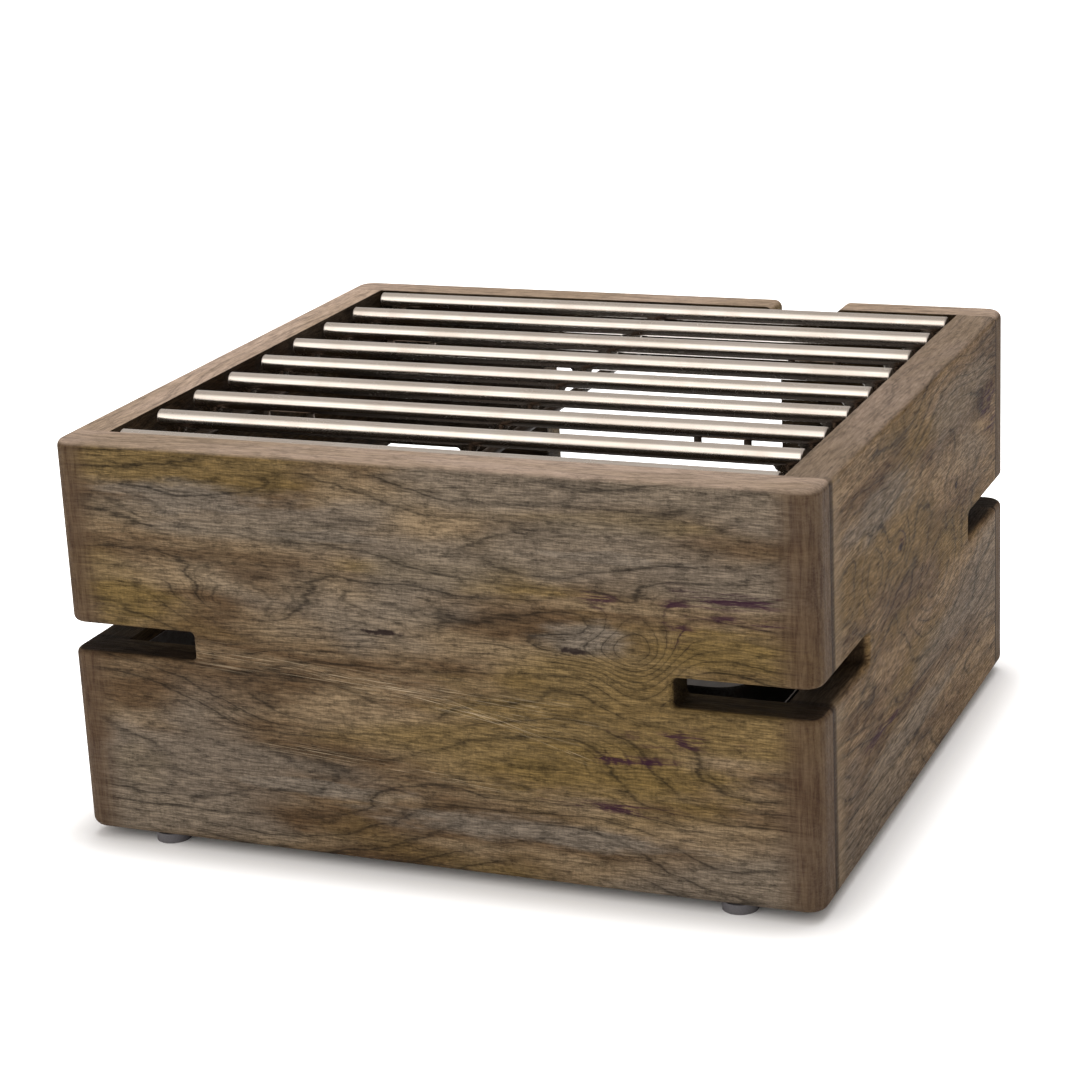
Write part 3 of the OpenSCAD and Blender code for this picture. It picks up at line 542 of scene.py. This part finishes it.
    # Inner faces and slot recesses are darkened towards char brown: partly smoke, partly painted shade inside the box
    # and in the slots
    inside = calc(tree, "MULTIPLY", ease(tree, depth, WALL - 0.004, WALL - 0.001), ease(tree, up, 0.4, 0.0))
    in_slot = calc(tree, "MULTIPLY", ease(tree, calc(tree, "ABSOLUTE", calc(tree, "SUBTRACT", height, SEAM)),
                                          SLOT_HALF_H + 0.0012, SLOT_HALF_H + 0.0004),
                   ease(tree, depth, 0.002, 0.008))
    smoke_and_painted_shade = calc(tree, "MAXIMUM", calc(tree, "MULTIPLY", inside, 0.72), calc(tree, "MULTIPLY", in_slot, 0.8))
    colour = tone(tree, smoke_and_painted_shade, colour, CHAR_AND_SHADE)

    rough = ease(tree, t["Fibre"], 0.0, 1.0, 0.82, 0.62)
    bump = calc(tree, "MULTIPLY_ADD", t["Fibre"], 0.7, calc(tree, "MULTIPLY", t["Rings"], -0.35))
    bump = calc(tree, "MULTIPLY_ADD", t["Pores"], -0.5, bump)
    bump = calc(tree, "MULTIPLY_ADD", torn, 0.5, bump)
    bump = calc(tree, "MULTIPLY_ADD", t["Speck"], 0.35, bump)
    dress(tree, shader, colour, rough, bump, depth=0.0006, strength=0.55)
    shader.inputs["Specular IOR Level"].default_value = 0.08
    return finish


def pale_wood():
    """Battens, dowels and splines: plain planed softwood."""
    finish, tree, shader, place = new_finish("pale planed wood")
    t = use(tree, TIMBER, {"Place": place, "Seed": (3.1, 7.7, 1.9), "Rings": 180.0, "Sway": 3.0})
    colour = tone(tree, t["Broad"], (0.42, 0.27, 0.14, 1), (0.55, 0.38, 0.21, 1))
    colour = tone(tree, calc(tree, "MULTIPLY", t["Rings"], 0.6), colour, (0.26, 0.13, 0.05, 1))
    colour = tone(tree, calc(tree, "MULTIPLY", t["Pores"], 0.35), colour, (0.16, 0.08, 0.04, 1))
    dirt = use(tree, DUST, {"Place": place, "Amount": 0.7})["Mask"]
    colour = tone(tree, dirt, colour, (0.20, 0.18, 0.16, 1))
    rough = ease(tree, t["Fibre"], 0.0, 1.0, 0.62, 0.48)
    dress(tree, shader, colour, rough, t["Fibre"], depth=0.0003, strength=0.4)
    return finish


def steel(name, stretch_by, light, dark, rough_low, rough_high, smudge=12.0, soot=0.0, streak=0.25):
    """Bright stainless steel with drawn lines, smudges and fine scuffs."""
    finish, tree, shader, place = new_finish(name)
    b = use(tree, BRUSHED, {"Place": place, "Stretch": stretch_by, "Smudge": smudge})
    long_lines = grit(tree, aim(tree, "MULTIPLY", place, tuple(0.34 * v for v in stretch_by)), 1.0, 3.0, 0.6)
    long_lines = ease(tree, long_lines, 0.36, 0.64)
    colour = tone(tree, ease(tree, b["Smudges"], 0.35, 0.75), light, dark)
    deep = (*(0.55 * v for v in dark[:3]), 1)
    colour = tone(tree, calc(tree, "MULTIPLY", long_lines, streak), colour, deep)
    colour = tone(tree, calc(tree, "MULTIPLY", b["Scuffs"], 0.15), colour, dark)
    rough = calc(tree, "MULTIPLY_ADD", b["Lines"], 0.12, ease(tree, b["Smudges"], 0.3, 0.8, rough_low, rough_high))
    rough = calc(tree, "MULTIPLY_ADD", b["Scuffs"], 0.05, rough)
    rough = calc(tree, "MULTIPLY_ADD", long_lines, 0.06, rough)
    if soot:
        d = ease(tree, grit(tree, place, 46.0, 5.0, 0.65), 0.45, 0.7)
        colour = tone(tree, calc(tree, "MULTIPLY", d, soot), colour, (0.05, 0.035, 0.025, 1))
        rough = calc(tree, "MULTIPLY_ADD", d, 0.3 * soot, rough)
    dress(tree, shader, colour, rough, b["Lines"], depth=0.00004, strength=0.35, metal=1.0)
    return finish


def zinc_sheet():
    """Galvanised sheet with large soft spangles and white bloom."""
    finish, tree, shader, place = new_finish("zinc sheet")
    cell = put(tree, "ShaderNodeTexVoronoi", {"Vector": aim(tree, "ADD", place, (0.3, 0.1, 0.7)), "Scale": 65.0},
               feature="F1").outputs["Color"]
    grey = put(tree, "ShaderNodeSeparateColor", {0: cell}).outputs[0]
    colour = tone(tree, grey, (0.30, 0.31, 0.32, 1), (0.52, 0.53, 0.54, 1))
    bloom = ease(tree, grit(tree, place, 18.0, 5.0, 0.6, 0.5), 0.5, 0.75)
    colour = tone(tree, calc(tree, "MULTIPLY", bloom, 0.5), colour, (0.60, 0.59, 0.56, 1))
    dirt = use(tree, DUST, {"Place": place, "Amount": 0.75})["Mask"]
    colour = tone(tree, dirt, colour, (0.16, 0.14, 0.125, 1))
    rough = calc(tree, "MULTIPLY_ADD", dirt, 0.3, ease(tree, grey, 0.0, 1.0, 0.34, 0.56))
    dress(tree, shader, colour, rough, grey, depth=0.0001, strength=0.3, metal=0.85)
    return finish


def black_steel(name, ash, tint):
    """Painted steel that the fire has dulled: fine scale, brown heat marks and grey ash."""
    finish, tree, shader, place = new_finish(name)
    scale = grit(tree, place, 420.0, 4.0, 0.6)
    heat = ease(tree, grit(tree, place, 9.0, 4.0, 0.6, 0.7), 0.48, 0.72)
    colour = tone(tree, ease(tree, scale, 0.35, 0.65), tint, (0.062, 0.058, 0.056, 1))
    colour = tone(tree, calc(tree, "MULTIPLY", heat, 0.5), colour, (0.085, 0.050, 0.032, 1))
    ashes = use(tree, DUST, {"Place": place, "Amount": ash})["Mask"]
    colour = tone(tree, ashes, colour, (0.22, 0.20, 0.18, 1))
    rough = calc(tree, "MULTIPLY_ADD", ashes, 0.25, ease(tree, scale, 0.3, 0.7, 0.42, 0.66))
    dress(tree, shader, colour, rough, scale, depth=0.00025, strength=0.5, metal=0.2)
    return finish


def cast_iron():
    """The ash grid: rough sand-cast iron."""
    finish, tree, shader, place = new_finish("cast iron")
    sand = grit(tree, place, 760.0, 5.0, 0.7)
    lumps = grit(tree, place, 90.0, 3.0, 0.5)
    colour = tone(tree, ease(tree, sand, 0.3, 0.7), (0.028, 0.027, 0.027, 1), (0.085, 0.080, 0.076, 1))
    rust = ease(tree, grit(tree, place, 26.0, 6.0, 0.7), 0.55, 0.72)
    colour = tone(tree, calc(tree, "MULTIPLY", rust, 0.5), colour, (0.14, 0.055, 0.022, 1))
    ashes = use(tree, DUST, {"Place": place, "Amount": 0.7})["Mask"]
    colour = tone(tree, ashes, colour, (0.36, 0.34, 0.32, 1))
    dress(tree, shader, colour, ease(tree, sand, 0.3, 0.7, 0.55, 0.85),
          calc(tree, "MULTIPLY_ADD", lumps, 1.5, sand), depth=0.0005, strength=0.6, metal=0.35)
    return finish


def rubber():
    finish, tree, shader, place = new_finish("foot rubber")
    fleck = grit(tree, place, 1300.0, 3.0, 0.6)
    colour = tone(tree, ease(tree, fleck, 0.4, 0.7), (0.075, 0.070, 0.076, 1), (0.12, 0.113, 0.12, 1))
    grime = ease(tree, grit(tree, place, 60.0, 4.0), 0.5, 0.75)
    colour = tone(tree, calc(tree, "MULTIPLY", grime, 0.5), colour, (0.10, 0.095, 0.09, 1))
    dress(tree, shader, colour, ease(tree, fleck, 0.3, 0.7, 0.7, 0.9), fleck, depth=0.0002, strength=0.4)
    return finish


# ---- The four walls' timber: knots, violet streaks, ochre and grey patches ----
FRONT_WOOD = weathered(
    "weathered timber front", "x", -HALF_D, 1.0, (0.37, 2.1, 4.4),
    knots=[((0.158, 0.256), (0.075, 0.020), 2.2, (0.017, 0.0036)),
           ((0.222, 0.256), (0.045, 0.052), 5.5, NO_HEART),
           ((-0.045, 0.257), (0.09, 0.020), 1.6, (0.024, 0.0034)),
           ((-0.205, 0.262), (0.12, 0.045), 3.0, NO_HEART),
           ((-0.130, 0.172), (0.15, 0.040), 3.0, NO_HEART)],
    violet=[((0.318, 0.318), (0.075, 0.010)), ((0.335, 0.300), (0.060, 0.006)), ((0.262, 0.297), (0.020, 0.030)),
            ((0.270, 0.176), (0.075, 0.012)), ((0.215, 0.150), (0.060, 0.008)), ((0.200, 0.100), (0.07, 0.007)),
            ((0.180, 0.310), (0.024, 0.010))],
    ochre=[((0.050, 0.322), (0.150, 0.022)), ((0.210, 0.386), (0.130, 0.014)), ((0.300, 0.268), (0.070, 0.030)),
           ((0.190, 0.135), (0.150, 0.035)), ((-0.330, 0.270), (0.060, 0.030)), ((-0.330, 0.090), (0.040, 0.030))],
    grey=[((0.200, 0.350), (0.140, 0.011)), ((0.110, 0.064), (0.210, 0.016)), ((-0.250, 0.378), (0.130, 0.022)),
          ((-0.100, 0.352), (0.150, 0.010)), ((0.170, 0.268), (0.050, 0.022)), ((-0.150, 0.085), (0.140, 0.012))],
    scratches=[(0.199, -0.065, 0.012, -0.25, 0.17), (0.190, -0.160, 0.007, -0.14, 0.14),
               (0.196, -0.300, 0.006, 0.02, 0.18), (0.112, -0.075, 0.006, -0.22, 0.10)])
RIGHT_WOOD = weathered(
    "weathered timber right", "y", HALF_W, -1.0, (5.2, 0.9, 1.6),
    knots=[((-0.082, 0.289), (0.050, 0.030), 3.0, (0.007, 0.0050)),
           ((0.145, 0.288), (0.050, 0.030), 3.0, (0.006, 0.0045)),
           ((0.060, 0.200), (0.130, 0.060), 5.0, NO_HEART), ((-0.180, 0.285), (0.060, 0.050), 3.0, NO_HEART)],
    violet=[((0.285, 0.345), (0.045, 0.020)), ((0.300, 0.318), (0.03, 0.02)), ((-0.080, 0.300), (0.016, 0.016)),
            ((-0.18, 0.12), (0.09, 0.008))],
    ochre=[((0.080, 0.375), (0.20, 0.020)), ((0.150, 0.230), (0.12, 0.035)), ((0.0, 0.15), (0.12, 0.03))],
    grey=[((-0.150, 0.350), (0.16, 0.03)), ((-0.050, 0.085), (0.25, 0.022)), ((0.200, 0.130), (0.10, 0.02))],
    scratches=[(0.105, 0.10, 0.008, -0.2, 0.15)], rim_painted_light=0.66)
LEFT_WOOD = weathered(
    "weathered timber left", "y", -HALF_W, 1.0, (8.8, 4.1, 0.3),
    knots=[((0.090, 0.330), (0.070, 0.035), 4.0, (0.012, 0.006)),
           ((-0.140, 0.120), (0.110, 0.045), 4.0, NO_HEART)],
    violet=[((-0.200, 0.300), (0.070, 0.010)), ((0.120, 0.160), (0.080, 0.009))],
    ochre=[((0.0, 0.270), (0.16, 0.03)), ((-0.180, 0.070), (0.12, 0.02))],
    grey=[((0.180, 0.380), (0.12, 0.018)), ((-0.050, 0.160), (0.16, 0.016))],
    scratches=[(0.230, 0.06, 0.009, -0.1, 0.2)], rim_painted_light=1.25)
BACK_WOOD = weathered(
    "weathered timber back", "x", HALF_D, -1.0, (2.6, 6.3, 7.7),
    knots=[((-0.260, 0.320), (0.080, 0.035), 4.0, (0.014, 0.006)),
           ((0.270, 0.130), (0.080, 0.040), 4.0, (0.009, 0.005))],
    violet=[((0.250, 0.350), (0.080, 0.010)), ((-0.300, 0.140), (0.060, 0.010))],
    ochre=[((0.030, 0.390), (0.18, 0.016)), ((-0.270, 0.080), (0.10, 0.03))],
    grey=[((-0.080, 0.372), (0.16, 0.014)), ((0.300, 0.250), (0.09, 0.03))],
    scratches=[(0.235, -0.05, 0.009, -0.36, -0.18)])

BLIND_X = HALF_W - SLOT_X
BLIND_Y = HALF_D - SLOT_Y
WALLS = [  # name, turn, half length, distance of the outer face, blind end of the slots, wood, window
    ("front", 0, HALF_W, HALF_D, BLIND_X, FRONT_WOOD, False),
    ("right", 90, IN_Y, HALF_W, BLIND_Y, RIGHT_WOOD, False),
    ("back", 180, HALF_W, HALF_D, BLIND_X, BACK_WOOD, True),
    ("left", 270, IN_Y, HALF_W, BLIND_Y, LEFT_WOOD, False),
]
for wall, turn, half, out, blind, wood, window in WALLS:
    for part in ("upper", "lower"):
        node = f"{wall}_board_{part}"
        piece = make_board(f"{wall}_board_{part}_finished", turn, half, out, blind, part == "upper", wood,
                           window=window, notch=window and part == "upper")
        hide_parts(node)


# ---- Bright weld flares where each bar meets a post ----
FLARE_SPREAD = (1.45, 0.56, 1)
FLARE_STEPS = 20


def weld_flares(material):
    """Small rippled cones under the bars, one on every post, all in one piece."""
    whole = bmesh.new()
    rails = [(lo.x + hi.x) / 2 for lo, hi in (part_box("left_rail"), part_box("middle_rail"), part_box("right_rail"))]
    bars = [(lo.y + hi.y) / 2 for lo, hi in (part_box(f"grate_bar_{n}") for n in range(1, 10))]
    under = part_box("grate_bar_9")[0].z
    outline = [(0.0050, -0.0125), (0.0055, -0.0095), (0.0052, -0.0085), (0.0064, -0.0062), (0.0062, -0.0052),
               (0.0080, -0.0028), (0.0079, -0.0018), (0.0102, 0.0012), (0.0122, 0.0040)]
    for x in rails:
        for y in bars:
            bm = bmesh.new()
            line = [bm.verts.new((r, 0, z)) for r, z in outline]
            edges = [bm.edges.new(pair) for pair in zip(line, line[1:])]
            bmesh.ops.spin(bm, geom=line + edges, cent=(0, 0, 0), axis=(0, 0, 1), angle=math.tau,
                           steps=FLARE_STEPS, use_merge=True)
            bmesh.ops.remove_doubles(bm, verts=bm.verts[:], dist=1e-6)
            open_ends = [e for e in bm.edges if len(e.link_faces) == 1]
            bmesh.ops.holes_fill(bm, edges=open_ends, sides=0)
            bmesh.ops.recalc_face_normals(bm, faces=bm.faces[:])
            bmesh.ops.scale(bm, vec=FLARE_SPREAD, verts=bm.verts[:])
            bmesh.ops.translate(bm, vec=(x, y, under), verts=bm.verts[:])
            part = bpy.data.meshes.new("flare")
            bm.to_mesh(part)
            bm.free()
            whole.from_mesh(part)
            bpy.data.meshes.remove(part)
    return finish_piece(whole, "weld_flares", material, body="grate", crease=40.0)


# ---- Finishes on the pieces whose shape is already right ----
BAR_STEEL = steel("polished bar steel", (5, 1000, 1000), (0.82, 0.755, 0.69, 1),
                  (0.70, 0.62, 0.55, 1), 0.12, 0.20, streak=0.22)
CAP_STEEL = steel("bar end steel", (700, 500, 500), (0.70, 0.64, 0.59, 1), (0.50, 0.44, 0.39, 1), 0.22, 0.36)
# Rail steel: near-black base colours stand in for the shade under the bars (painted shade); the soot patches add soot
RAIL_STEEL = steel("rail steel", (1000, 8, 1000), (0.085, 0.060, 0.045, 1),
                   (0.040, 0.027, 0.020, 1), 0.34, 0.5, 30.0, 0.55)
POST_STEEL = steel("welded post steel", (500, 500, 160), (0.40, 0.33, 0.28, 1),
                   (0.16, 0.12, 0.09, 1), 0.14, 0.28, 60.0, 0.35)
LUG_STEEL = steel("lug steel", (10, 900, 900), (0.40, 0.33, 0.28, 1),
                  (0.18, 0.13, 0.10, 1), 0.2, 0.34, 50.0, 0.4)
HANDLE_STEEL = steel("drawer handle steel", (10, 1000, 1000), (0.62, 0.60, 0.58, 1),
                     (0.5, 0.48, 0.46, 1), 0.22, 0.34)
BRACKET_STEEL = steel("bracket steel", (500, 60, 60), (0.26, 0.22, 0.19, 1),
                      (0.14, 0.11, 0.09, 1), 0.36, 0.5, 24.0, 0.4)
SCREW_STEEL = steel("screw steel", (300, 300, 300), (0.52, 0.50, 0.48, 1),
                    (0.34, 0.32, 0.30, 1), 0.30, 0.45, 90.0)
WELD_STEEL = steel("bright weld steel", (260, 260, 260), (0.92, 0.86, 0.79, 1),
                   (0.62, 0.54, 0.47, 1), 0.10, 0.2, 150.0, 0.15)
weld_flares(WELD_STEEL)
ZINC = zinc_sheet()
TRAY_BLACK = black_steel("heat-proof black steel", 0.16, (0.028, 0.020, 0.015, 1))
SHIELD_BROWN = black_steel("smoked sheet", 0.12, (0.022, 0.014, 0.010, 1))
STAND_BLACK = black_steel("stand black steel", 0.35, (0.022, 0.022, 0.024, 1))
IRON = cast_iron()
RUBBER = rubber()
PINE = pale_wood()

FINISHES = {
    "bar_end_caps": CAP_STEEL, "left_rail": RAIL_STEEL, "middle_rail": RAIL_STEEL, "right_rail": RAIL_STEEL,
    "rail_posts": POST_STEEL, "lifting_lugs": LUG_STEEL, "grate_rests": BRACKET_STEEL,
    "rest_screws": SCREW_STEEL, "batten_screws": SCREW_STEEL, "shield_screws": SCREW_STEEL,
    "handle_screws": SCREW_STEEL, "foot_screws": SCREW_STEEL, "leg_rivets": SCREW_STEEL,
    "shield_spacers": SCREW_STEEL, "base_plate": SHIELD_BROWN, "ash_drawer": ZINC, "drawer_front": ZINC,
    "drawer_runner_left": ZINC, "drawer_runner_right": ZINC, "drawer_handle": HANDLE_STEEL,
    "shield_front": SHIELD_BROWN, "shield_left": SHIELD_BROWN, "shield_right": SHIELD_BROWN,
    "shield_back_left": SHIELD_BROWN, "shield_back_right": SHIELD_BROWN,
    "fire_tray": TRAY_BLACK, "tray_grip_left": TRAY_BLACK, "tray_grip_right": TRAY_BLACK,
    "ash_grid": IRON, "tray_legs": STAND_BLACK, "stand_bar_left": STAND_BLACK,
    "stand_bar_right": STAND_BLACK, "foot_pads": RUBBER, "edge_dowels": PINE, "corner_splines": PINE,
    "base_batten_front": PINE, "base_batten_back": PINE, "base_batten_left": PINE, "base_batten_right": PINE,
}
for name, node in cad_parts.items():
    finish = BAR_STEEL if name.startswith("grate_bar_") else FINISHES.get(name)
    if finish is None:
        continue
    for place in node.material_slots:
        place.material = finish


# ---- The studio: a glowing white floor with a painted shadow round the box, a large soft light overhead and soft fills ----
def studio():
    floor = bpy.data.materials.new("studio floor")
    floor.use_nodes = True
    tree = floor.node_tree
    shader = tree.nodes["Principled BSDF"]
    shader.inputs["Base Color"].default_value = (0.92, 0.92, 0.93, 1)
    shader.inputs["Roughness"].default_value = 0.9
    shader.inputs["Specular IOR Level"].default_value = 0.0
    shader.inputs["Emission Strength"].default_value = 1.0
    place = tree.nodes.new("ShaderNodeTexCoord").outputs["Object"]
    # The floor glows white, and the glow fades out within about 11 cm of the box: a painted contact shadow
    beyond = aim(tree, "SUBTRACT", aim(tree, "ABSOLUTE", aim(tree, "MULTIPLY", place, (1, 1, 0))),
                 (HALF_W - 0.01, HALF_D - 0.01, 0))
    floor_glow_and_painted_shadow = ease(tree, aim(tree, "LENGTH", aim(tree, "MAXIMUM", beyond, (0, 0, 0))), 0.0, 0.11, 0.0, 0.8)
    tree.links.new(tone(tree, floor_glow_and_painted_shadow, (0, 0, 0, 1), (1, 1, 1, 1)), shader.inputs["Emission Color"])
    bm = bmesh.new()
    bmesh.ops.create_circle(bm, cap_ends=True, radius=40.0, segments=64)
    mesh = bpy.data.meshes.new("studio_floor")
    bm.to_mesh(mesh)
    bm.free()
    mesh.materials.append(floor)
    ground = bpy.data.objects.new("studio_floor", mesh)
    bpy.context.scene.collection.objects.link(ground)

    world = bpy.data.worlds.new("studio light")
    bpy.context.scene.world = world
    world.use_nodes = True
    tree = world.node_tree
    tree.nodes.clear()
    out = tree.nodes.new("ShaderNodeOutputWorld")
    view = put(tree, "ShaderNodeBackground", {"Color": (1, 1, 1, 1), "Strength": 1.0})
    aside = tree.nodes.new("ShaderNodeTexCoord").outputs["Generated"]
    ahead = aim(tree, "DOT_PRODUCT", aside, (-0.28, -0.93, 0.24))
    colour = tone(tree, ease(tree, ahead, 0.42, 0.86), (0.56, 0.53, 0.50, 1), (1.60, 1.55, 1.49, 1))
    surround = put(tree, "ShaderNodeBackground", {"Color": colour, "Strength": 1.0})
    mix = put(tree, "ShaderNodeMixShader",
              {0: tree.nodes.new("ShaderNodeLightPath").outputs["Is Camera Ray"], 1: surround.outputs[0],
               2: view.outputs[0]})
    tree.links.new(mix.outputs[0], out.inputs[0])

    def softbox(name, place, target, width, depth, power):
        light = bpy.data.lights.new(name, "AREA")
        light.shape = "RECTANGLE"
        light.size, light.size_y = width, depth
        light.energy = power
        lamp = bpy.data.objects.new(name, light)
        lamp.location = place
        lamp.rotation_euler = (Vector(target) - Vector(place)).to_track_quat("-Z", "Y").to_euler()
        bpy.context.scene.collection.objects.link(lamp)
        lamp.visible_camera = False
        lamp.visible_glossy = False

    softbox("overhead softbox", (0.1, 0.5, 2.7), (0, 0, 0.2), 3.0, 2.2, 62)
    softbox("right fill", (3.6, -1.2, 1.5), (0, 0, 0.25), 1.8, 1.8, 1.5)


def camera():
    """A long lens from the front right, looking slightly down, with a slight roll."""
    place = Vector((1.1149, -2.7233, 1.1710))
    heading, pitch, roll = 0.39690, 0.30605, -0.04879
    ahead = Vector((-math.sin(heading) * math.cos(pitch), math.cos(heading) * math.cos(pitch), -math.sin(pitch)))
    right = Vector((math.cos(heading), math.sin(heading), 0))
    up = right.cross(ahead)
    right, up = (math.cos(roll) * right + math.sin(roll) * up, -math.sin(roll) * right + math.cos(roll) * up)
    lens = bpy.data.cameras.new("camera")
    lens.lens, lens.sensor_width, lens.sensor_fit = 94.73, 36.0, "HORIZONTAL"
    lens.clip_end = 200
    eye = bpy.data.objects.new("camera", lens)
    bpy.context.scene.collection.objects.link(eye)
    turn = Matrix((right, up, -ahead)).transposed().to_4x4()
    eye.matrix_world = Matrix.Translation(place) @ turn
    bpy.context.scene.camera = eye


studio()
camera()
bpy.context.scene.view_settings.view_transform = "Standard"
